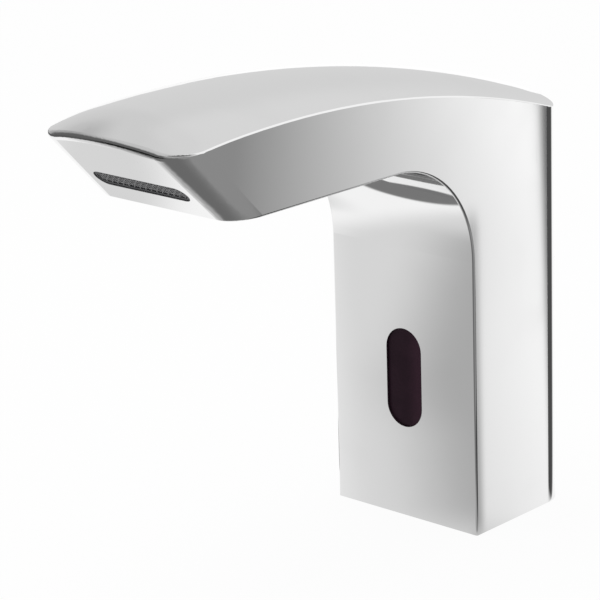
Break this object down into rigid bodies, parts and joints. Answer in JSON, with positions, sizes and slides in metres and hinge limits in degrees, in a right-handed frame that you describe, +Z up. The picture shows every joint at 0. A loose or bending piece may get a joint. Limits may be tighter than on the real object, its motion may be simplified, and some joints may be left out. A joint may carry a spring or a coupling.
{
  "type": "sensor tap",
  "caption": "Deck-mounted touch-free basin tap: a square-section chrome column with an arched, flat-sided spout, a slanted slot outlet and a dark sensor window low on its front.",
  "frame": {"origin": "axis of the fixing stud's hole at the deck face, in the middle of the column's footprint", "axes": "+Z up from the deck, -Y along the spout towards the outlet, +X across the spout"},
  "size_m": [0.052, 0.1575, 0.1416],
  "materials": {
    "polished_chrome": "polished chrome plate",
    "dark_window": "dark plum infrared filter, polished",
    "black_rubber": "matt black rubber",
    "red_rubber": "silicone rubber",
    "black_plastic": "fine moulded texture",
    "grey_plastic": "glass-filled, fine grain",
    "white_plastic": "moulded acetal",
    "outlet_plastic": "dark grey moulded",
    "mesh_plastic": "dark grey moulded mesh",
    "circuit_board": "solder-masked board",
    "clear_lamp": "clear epoxy",
    "smoked_lamp": "smoked epoxy",
    "red_lamp": "tinted epoxy",
    "spring_strip": "rolled strip",
    "steel_screws": "stainless",
    "zinc_casting": "as-cast zinc alloy",
    "turned_brass": "turned brass",
    "strainer_steel": "fine woven steel",
    "spring_steel": "drawn wire",
    "core_steel": "ground magnetic steel",
    "zinc_steel": "zinc-plated steel",
    "winding_tape": "amber tape over copper wire"
  },
  "bodies": {
    "tap": {"body_shell": "polished_chrome", "sensor_window": "dark_window", "window_gasket": "black_rubber", "sensor_case": "black_plastic", "sensor_board": "circuit_board", "infrared_emitter": "clear_lamp", "infrared_receiver": "smoked_lamp", "status_led": "red_lamp", "sensor_clamp": "spring_strip", "sensor_clamp_screws": "steel_screws", "base_plate": "zinc_casting", "base_gasket": "black_rubber", "base_screws": "steel_screws", "cable_gland": "black_rubber", "valve_posts": "turned_brass", "post_screws": "steel_screws", "inlet_nipple": "turned_brass", "inlet_seal": "black_rubber", "inlet_strainer": "strainer_steel", "check_valve_body": "turned_brass", "check_guide": "white_plastic", "check_spring": "spring_steel", "valve_block": "grey_plastic", "diaphragm": "red_rubber", "valve_bonnet": "grey_plastic", "bonnet_screws": "steel_screws", "core_tube": "core_steel", "fixed_core": "core_steel", "plunger_spring": "spring_steel", "coil_bobbin": "black_plastic", "coil_winding": "winding_tape", "coil_yoke": "zinc_steel", "coil_nut": "zinc_steel", "outlet_tube": "turned_brass", "tube_nut": "turned_brass", "outlet_cassette": "outlet_plastic", "outlet_seal": "black_rubber", "outlet_mesh": "mesh_plastic", "flow_diffuser": "white_plastic", "control_case": "black_plastic", "control_lid": "black_plastic", "control_board": "circuit_board"},
    "plunger_body": {"plunger": "core_steel", "plunger_seal": "black_rubber"},
    "insert_body": {"diaphragm_insert": "white_plastic"},
    "check_body": {"check_poppet": "white_plastic"}
  },
  "joints": [
    {"name": "plunger_slide", "type": "slide", "parent": "tap", "child": "plunger_body", "axis": [0, 0, 1], "range_m": [0, 0.0025], "stiffness_N_per_m": 300, "springref_m": -0.003, "deforming": ["plunger_spring"]},
    {"name": "diaphragm_lift", "type": "slide", "parent": "tap", "child": "insert_body", "axis": [0, 0, 1], "range_m": [0, 0.002], "deforming": ["diaphragm"]},
    {"name": "check_lift", "type": "slide", "parent": "tap", "child": "check_body", "axis": [0, 0, 1], "range_m": [0, 0.002], "stiffness_N_per_m": 200, "springref_m": -0.003, "deforming": ["check_spring"]}
  ],
  "couplings": [
    {"joint": "diaphragm_lift", "follows": "plunger_slide", "ratio": 0.8}
  ]
}
